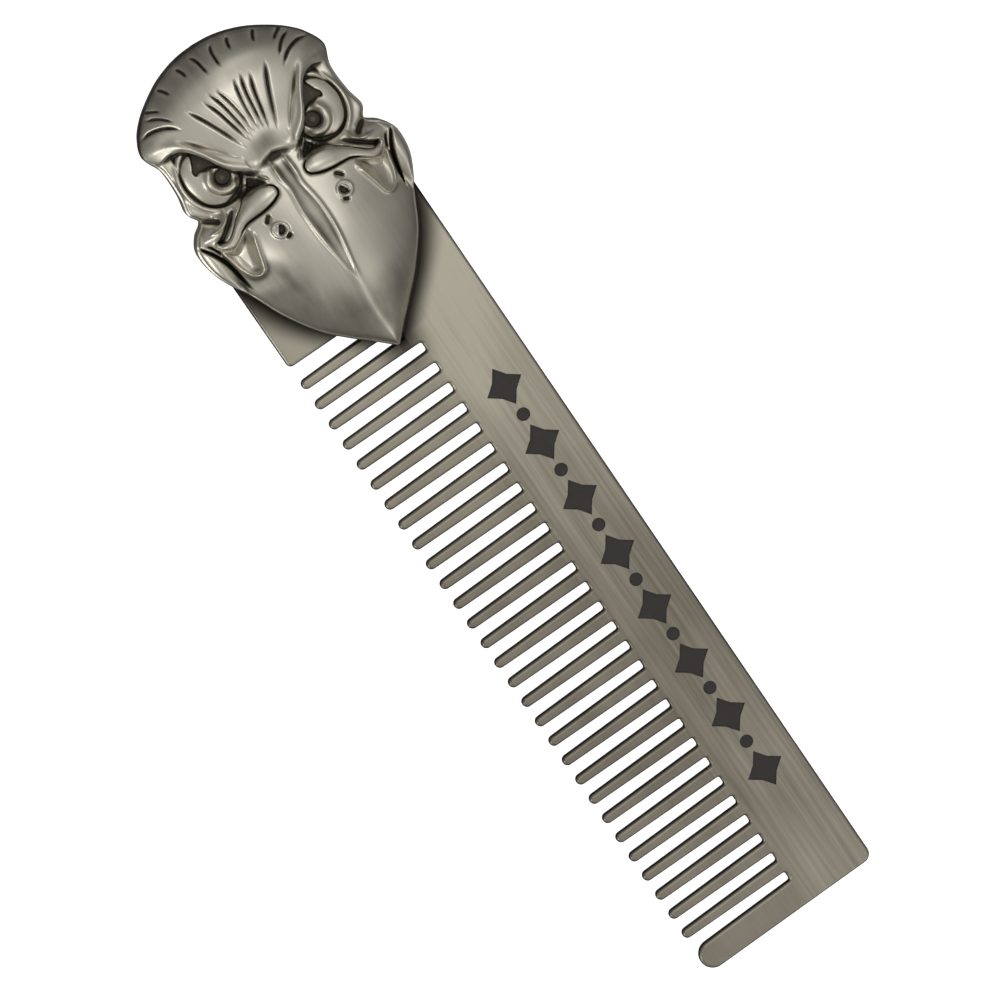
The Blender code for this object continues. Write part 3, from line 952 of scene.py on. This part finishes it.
def hole_profile(low):
    """The pin's hole through the plate, a clearance wider than the pin all round."""
    return [
        (0, FACE_Z + CUTTER_REACH),
        (PIN_RADIUS + CLEARANCE, FACE_Z + CUTTER_REACH),
        (PIN_RADIUS + CLEARANCE, low + PIN_HEAD_HEIGHT + CLEARANCE),
        (PIN_HEAD_RADIUS + CLEARANCE, low + PIN_HEAD_RIM + CLEARANCE),
        (PIN_HEAD_RADIUS + CLEARANCE, PLATE_LOW.z - CUTTER_REACH),
        (0, PLATE_LOW.z - CUTTER_REACH),
    ]


def drive_pin(node):
    low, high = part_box(node)
    pin = turned(node + "_turned", pin_profile(low.z, high.z), (low.x + high.x) / 2)
    pin.data.shade_smooth()
    pin.data.set_sharp_from_angle(angle=math.radians(30))
    return pin


def enamel_fill(node):
    """Enamel that fills a pocket and sags a little in the middle, as it does when it cures."""
    shape = bmesh.new()
    top = PLATE_HIGH.z - ENAMEL_SINK
    bottom = PLATE_HIGH.z - POCKET_DEPTH + ENAMEL_CLEARANCE / 2
    outline = motif_outline(node, ENAMEL_CLEARANCE)
    shape.faces.new([shape.verts.new((x, y, bottom)) for x, y in outline])
    made = bmesh.ops.extrude_face_region(shape, geom=shape.faces[:])["geom"]
    moved = [item for item in made if isinstance(item, bmesh.types.BMVert)]
    bmesh.ops.translate(shape, verts=moved, vec=(0, 0, top - bottom))
    caps = [item for item in made if isinstance(item, bmesh.types.BMFace)]
    for _ in range(3):
        bmesh.ops.inset_region(shape, faces=caps, thickness=ENAMEL_STEP, depth=-ENAMEL_SAG)
        caps = [face for face in caps if face.is_valid]
    return link(node + "_fill", mesh_of(shape, node + "_fill"))


# ---------------------------------------------------------------- materials

# Painted shade and patina on the plate beside the beak, and a painted contact shadow right at its edge
HEAD_SHADE_REACH = 3.7  # mm across the plate from the beak's edge
HEAD_SHADE_SHARE = 0.97
SPINE_SIDE_EXTRA = 0.9 * MM  # it reaches further on that side
PAST_TIP = 5  # mm along the plate from the beak's tip
CONTACT_REACH = 0.7  # mm of the painted contact shadow, a black line right at the edge
CONTACT_SHARE = 1.1

# Linear colours
# the plate's colour runs between these two with its brushing and with painted light along the plate
PLATE_DARK = (0.20, 0.178, 0.138)
PLATE_LIGHT = (0.46, 0.425, 0.34)
# painted shade and patina beside the beak
PLATE_SHADE_AND_STAIN = (0.022, 0.019, 0.016)
# painted shade on the cut sides
PLATE_SIDE_SHADE = (0.03, 0.027, 0.023)
ALLOY_DARK = (0.61, 0.575, 0.485)
ALLOY_LIGHT = (0.65, 0.615, 0.52)
# the colour of patina, and of painted shade
PATINA_AND_SHADE = (0.075, 0.068, 0.055)


def node_material(name):
    made = bpy.data.materials.new(name)
    made.use_nodes = True
    tree = made.node_tree
    shader = tree.nodes["Principled BSDF"]
    return made, tree, shader


def add(tree, kind, **settings):
    node = tree.nodes.new(kind)
    for key, value in settings.items():
        setattr(node, key, value)
    return node


def place_parts(tree, kind="Object"):
    """X, Y and Z of a texture coordinate."""
    place = add(tree, "ShaderNodeTexCoord")
    parts = add(tree, "ShaderNodeSeparateXYZ")
    tree.links.new(place.outputs[kind], parts.inputs[0])
    return parts.outputs["X"], parts.outputs["Y"], parts.outputs["Z"]


def stretched_noise(tree, stretch, detail, turn=0.0):
    """Noise pulled out along the comb, in object space, as brushing leaves it."""
    place = add(tree, "ShaderNodeTexCoord")
    mapping = add(tree, "ShaderNodeMapping")
    mapping.inputs["Scale"].default_value = stretch
    mapping.inputs["Rotation"].default_value = (0, 0, math.radians(turn))
    noise = add(tree, "ShaderNodeTexNoise")
    noise.inputs["Scale"].default_value = 1.0
    noise.inputs["Detail"].default_value = detail
    tree.links.new(place.outputs["Object"], mapping.inputs["Vector"])
    tree.links.new(mapping.outputs["Vector"], noise.inputs["Vector"])
    return noise.outputs["Fac"]


def ranged(tree, value, low, high, to_low, to_high, smooth=False):
    node = add(tree, "ShaderNodeMapRange")
    node.interpolation_type = "SMOOTHSTEP" if smooth else "LINEAR"
    node.inputs["From Min"].default_value = low
    node.inputs["From Max"].default_value = high
    node.inputs["To Min"].default_value = to_low
    node.inputs["To Max"].default_value = to_high
    tree.links.new(value, node.inputs["Value"])
    return node.outputs["Result"]


def math_node(tree, operation, first, second):
    node = add(tree, "ShaderNodeMath", operation=operation)
    for socket, value in zip(node.inputs, (first, second)):
        if isinstance(value, (int, float)):
            socket.default_value = value
        else:
            tree.links.new(value, socket)
    return node.outputs[0]


def mix_colors(tree, share, first, second):
    node = add(tree, "ShaderNodeMix", data_type="RGBA")
    tree.links.new(share, node.inputs["Factor"])
    color_sockets = node.inputs[6:8]  # A and B: the ones before them are for numbers and vectors
    for socket, value in zip(color_sockets, (first, second)):
        if isinstance(value, tuple):
            socket.default_value = (*value, 1)
        else:
            tree.links.new(value, socket)
    return node.outputs[2]


def bumped(tree, shader, height, distance):
    node = add(tree, "ShaderNodeBump")
    node.inputs["Strength"].default_value = 1.0
    node.inputs["Distance"].default_value = distance
    tree.links.new(height, node.inputs["Height"])
    tree.links.new(node.outputs["Normal"], shader.inputs["Normal"])


def head_half_width(tree, x):
    """The head's half width at a place along the comb, as a share of its length."""
    along = ranged(tree, x, CREST_X, CREST_X + HEAD_LENGTH * MM, 0, 1)
    half = add(tree, "ShaderNodeFloatCurve")
    tree.links.new(along, half.inputs["Value"])
    curve = half.mapping.curves[0]
    for point, (distance, side) in zip(curve.points, (HALF_OUTLINE[0], HALF_OUTLINE[-1])):
        point.location = (distance / HEAD_LENGTH, side / HEAD_LENGTH)
    for distance, side in HALF_OUTLINE[1:-1]:
        curve.points.new(distance / HEAD_LENGTH, side / HEAD_LENGTH)
    half.mapping.update()
    return half.outputs[0]


def painted_shade_near_head(tree):
    """Painted shade and patina on the plate's front beside the beak, with a painted shadow line along its
    edge: full at the beak's edge, gone a little way out.
    """
    x, y, z = place_parts(tree)
    spine_side = math_node(tree, "SUBTRACT", y, SPINE_SIDE_EXTRA)
    teeth_side = math_node(tree, "MULTIPLY", y, -1)
    side = math_node(tree, "MAXIMUM", spine_side, teeth_side)
    side = math_node(tree, "DIVIDE", side, HEAD_LENGTH * MM)
    outside = math_node(tree, "SUBTRACT", side, head_half_width(tree, x))
    soft = ranged(tree, outside, 0, HEAD_SHADE_REACH / HEAD_LENGTH, HEAD_SHADE_SHARE, 0, smooth=True)
    # painted contact shadow along the beak's edge
    contact = ranged(tree, outside, 0, CONTACT_REACH / HEAD_LENGTH, CONTACT_SHARE, 0, smooth=True)
    tip_x = CREST_X + HEAD_LENGTH * MM
    before_tip = ranged(tree, x, tip_x, tip_x + PAST_TIP * MM, 1, 0)
    front = ranged(tree, z, 0.3 * FACE_Z, 0.9 * FACE_Z, 0, 1)
    painted_light_and_stain = math_node(tree, "MULTIPLY", math_node(tree, "MAXIMUM", soft, contact), before_tip)
    return math_node(tree, "MULTIPLY", painted_light_and_stain, front)


def on_the_spine(tree):
    """1 on the band along the spine and little on the teeth, where brushing shows less."""
    _, y, _ = place_parts(tree)
    return ranged(tree, y, ROOT_Y - 2 * MM, ROOT_Y + 1 * MM, 0.2, 1)


def plate_tone_and_painted_light(tree):
    """Painted light along the plate: lightest beside the head, darkest past the middle and a little lighter
    again at the far end; darker on the teeth, with random clouds of tone.
    """
    x, y, _ = place_parts(tree)
    # painted light: lighter beside the head, and again towards the far end
    near = ranged(tree, x, -25 * MM, 15 * MM, 0.95, 0.22, smooth=True)
    far = ranged(tree, x, 35 * MM, 60 * MM, 0.05, 0.42)
    teeth = ranged(tree, y, ROOT_Y - 1 * MM, ROOT_Y + 2 * MM, 0.62, 1)
    clouds = ranged(tree, stretched_noise(tree, (60, 140, 60), 2, turn=12), 0.3, 0.7, -0.14, 0.14)
    level = math_node(tree, "MULTIPLY", math_node(tree, "ADD", near, far), teeth)
    return math_node(tree, "ADD", level, clouds)


def painted_side_shade(tree):
    """Painted shade on the plate's cut sides: 1 there, and 0 on its faces and rounded edges."""
    _, _, z = place_parts(tree, "Normal")
    tilt = math_node(tree, "ABSOLUTE", z, 0)
    return ranged(tree, tilt, 0.15, 0.6, 0.9, 0)


def scaled(tree, value, factor):
    return math_node(tree, "MULTIPLY", value, factor)


def plate_steel():
    made, tree, shader = node_material("plate_steel")
    shader.inputs["Metallic"].default_value = 1.0
    streaks = stretched_noise(tree, (60, 2600, 600), 4, turn=3)
    broad = stretched_noise(tree, (40, 260, 100), 3, turn=3)
    brushing = math_node(tree, "ADD", scaled(tree, streaks, 0.7), scaled(tree, broad, 0.3))
    contrast = math_node(tree, "SUBTRACT", brushing, 0.5)
    contrast = math_node(tree, "MULTIPLY", contrast, on_the_spine(tree))
    # the plate's colour carries painted light along its length as well as its brushing
    tone = math_node(tree, "ADD", scaled(tree, contrast, 1.6), plate_tone_and_painted_light(tree))
    color = mix_colors(tree, ranged(tree, tone, 0, 1, 0, 1), PLATE_DARK, PLATE_LIGHT)
    # painted shade, contact shadow and patina beside the beak
    color = mix_colors(tree, painted_shade_near_head(tree), color, PLATE_SHADE_AND_STAIN)
    # painted shade on the cut sides
    color = mix_colors(tree, painted_side_shade(tree), color, PLATE_SIDE_SHADE)
    tree.links.new(color, shader.inputs["Base Color"])
    tree.links.new(ranged(tree, brushing, 0.3, 0.7, 0.38, 0.46), shader.inputs["Roughness"])
    bumped(tree, shader, streaks, 0.008 * MM)
    return made


def attribute_value(tree, name):
    return add(tree, "ShaderNodeAttribute", attribute_name=name).outputs["Fac"]


def head_patina_and_painted_light(tree):
    """How much patina and painted shade there is: patina in the recesses, painted shade at the foot of the
    beak's walls, the patina, polish and painted light of each place, and soft patches.
    """
    mottle = stretched_noise(tree, (900, 900, 900), 3)
    patches = stretched_noise(tree, (130, 420, 200), 2, turn=20)
    layers = (
        # patina in the recesses, and painted shade down the beak's walls
        scaled(tree, attribute_value(tree, "recess_fine_and_wall_shade"), 4.0),
        scaled(tree, attribute_value(tree, "recess_wide_and_wall_shade"), 0.8),
        attribute_value(tree, "stain_and_painted_light"),
        scaled(tree, math_node(tree, "SUBTRACT", mottle, 0.5), 0.08),
        ranged(tree, patches, 0.4, 0.8, 0.0, 0.2),
    )
    depth = layers[0]
    for layer in layers[1:]:
        depth = math_node(tree, "ADD", depth, layer)
    return ranged(tree, depth, 0.12, 1.0, 0, 1, smooth=True)


def head_alloy():
    made, tree, shader = node_material("head_alloy")
    shader.inputs["Metallic"].default_value = 1.0
    streaks = stretched_noise(tree, (120, 2600, 600), 4, turn=-2)
    patina = head_patina_and_painted_light(tree)
    bright = mix_colors(tree, ranged(tree, streaks, 0.3, 0.7, 0, 1), ALLOY_DARK, ALLOY_LIGHT)
    # patina and painted shade darken the colour; painted light lightens it
    color = mix_colors(tree, patina, bright, PATINA_AND_SHADE)
    tree.links.new(color, shader.inputs["Base Color"])
    rough = ranged(tree, streaks, 0.3, 0.7, 0.36, 0.40)
    rough = math_node(tree, "ADD", rough, scaled(tree, patina, 0.2))
    tree.links.new(rough, shader.inputs["Roughness"])
    bumped(tree, shader, streaks, 0.004 * MM)
    return made


def enamel_black():
    made, tree, shader = node_material("black_enamel")
    grain = stretched_noise(tree, (1500, 1500, 1500), 4)
    color = mix_colors(tree, grain, (0.014, 0.011, 0.009), (0.034, 0.027, 0.021))
    tree.links.new(color, shader.inputs["Base Color"])
    tree.links.new(ranged(tree, grain, 0.3, 0.7, 0.45, 0.65), shader.inputs["Roughness"])
    bumped(tree, shader, grain, 0.03 * MM)
    return made


def pin_steel():
    made, tree, shader = node_material("pin_steel")
    shader.inputs["Metallic"].default_value = 1.0
    turning = stretched_noise(tree, (900, 900, 3000), 3)
    color = mix_colors(tree, turning, (0.44, 0.42, 0.39), (0.55, 0.53, 0.50))
    tree.links.new(color, shader.inputs["Base Color"])
    tree.links.new(ranged(tree, turning, 0.3, 0.7, 0.32, 0.42), shader.inputs["Roughness"])
    return made


def epoxy():
    made, tree, shader = node_material("epoxy")
    cloud = stretched_noise(tree, (400, 400, 400), 3)
    color = mix_colors(tree, cloud, (0.50, 0.44, 0.30), (0.60, 0.55, 0.40))
    tree.links.new(color, shader.inputs["Base Color"])
    shader.inputs["Roughness"].default_value = 0.45
    bumped(tree, shader, cloud, 0.02 * MM)
    return made


def floor_white():
    made, _, shader = node_material("floor_white")
    shader.inputs["Base Color"].default_value = (0.93, 0.93, 0.93, 1)
    shader.inputs["Roughness"].default_value = 0.9
    shader.inputs["Specular IOR Level"].default_value = 0.1
    shader.inputs["Emission Color"].default_value = (1, 1, 1, 1)
    shader.inputs["Emission Strength"].default_value = 0.9
    return made


def finish_with(obj, material):
    obj.data.materials.clear()
    obj.data.materials.append(material)


# ---------------------------------------------------------------- studio

CAMERA_PLACE = Vector((-132.64, -34.04, 558.09)) * MM
CAMERA_AIM = Vector((1.13, -0.58, 1.2)) * MM
CAMERA_ROLL = 131.05  # degrees
LENS = 179.6  # mm
FLOOR_GAP = 0.02 * MM  # under the plate


def camera():
    data = bpy.data.cameras.new("camera")
    data.lens = LENS
    data.sensor_width = 36
    data.clip_end = 10
    obj = bpy.data.objects.new("camera", data)
    facing = (CAMERA_PLACE - CAMERA_AIM).to_track_quat("Z", "Y").to_matrix().to_4x4()
    roll = Matrix.Rotation(math.radians(CAMERA_ROLL), 4, "Z")
    obj.matrix_world = Matrix.Translation(CAMERA_PLACE) @ facing @ roll
    bpy.context.scene.collection.objects.link(obj)
    bpy.context.scene.camera = obj


def area_light(name, place, aim, size, power):
    data = bpy.data.lights.new(name, "AREA")
    data.shape = "RECTANGLE"
    data.size, data.size_y = size
    data.energy = power
    obj = bpy.data.objects.new(name, data)
    obj.location = place
    obj.rotation_euler = (Vector(place) - Vector(aim)).to_track_quat("Z", "Y").to_euler()
    bpy.context.scene.collection.objects.link(obj)


def world_light(below, horizon, zenith):
    """A soft sky that brightens towards the top, and is dark under the horizon."""
    world = bpy.data.worlds.new("studio")
    bpy.context.scene.world = world
    world.use_nodes = True
    background = world.node_tree.nodes["Background"]
    background.inputs["Color"].default_value = (1, 1, 1, 1)
    tree = world.node_tree
    _, _, up = place_parts(tree, "Generated")
    sky = ranged(tree, up, 0.1, 1.0, horizon, zenith, smooth=True)
    ground = ranged(tree, up, -0.35, 0.1, below / horizon, 1)
    tree.links.new(math_node(tree, "MULTIPLY", sky, ground), background.inputs["Strength"])


def floor():
    shape = bmesh.new()
    bmesh.ops.create_grid(shape, x_segments=8, y_segments=8, size=1.5)
    obj = link("studio_floor", mesh_of(shape, "studio_floor"))
    obj.location.z = PLATE_LOW.z - FLOOR_GAP
    obj.visible_glossy = False
    obj.visible_diffuse = False
    finish_with(obj, floor_white())


# ---------------------------------------------------------------- the whole scene


def show(piece, material, slot, *nodes):
    finish_with(piece, material)
    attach(piece, "root")
    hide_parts(*nodes)


def main():
    camera()
    show(comb_plate(), plate_steel(), "plate_steel", "comb_plate")
    show(head_casting(), head_alloy(), "head_alloy", "head_casting")
    enamel = enamel_black()
    for node in motif_nodes():
        show(enamel_fill(node), enamel, "black_enamel", node)
    steel = pin_steel()
    for node in pin_nodes():
        show(drive_pin(node), steel, "pin_steel", node)
    finish_with(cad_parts["adhesive_bond"], epoxy())

    floor()
    world_light(below=0.10, horizon=0.22, zenith=0.5)
    area_light("overhead", (-0.1, 0.1, 0.8), (0, 0, 0), (0.35, 0.35), 0.85)
    area_light("far_end", (0.75, 0.2, 0.6), (0, 0, 0), (0.4, 0.6), 0.8)
    area_light("crest_side", (-0.6, 0.3, 0.5), (0, 0, 0), (0.3, 0.6), 0.35)
    area_light("teeth_side", (0.06, -0.55, 0.27), (-0.04, 0, 0), (0.2, 0.2), 0.7)
    bpy.context.scene.view_settings.view_transform = "Standard"


main()
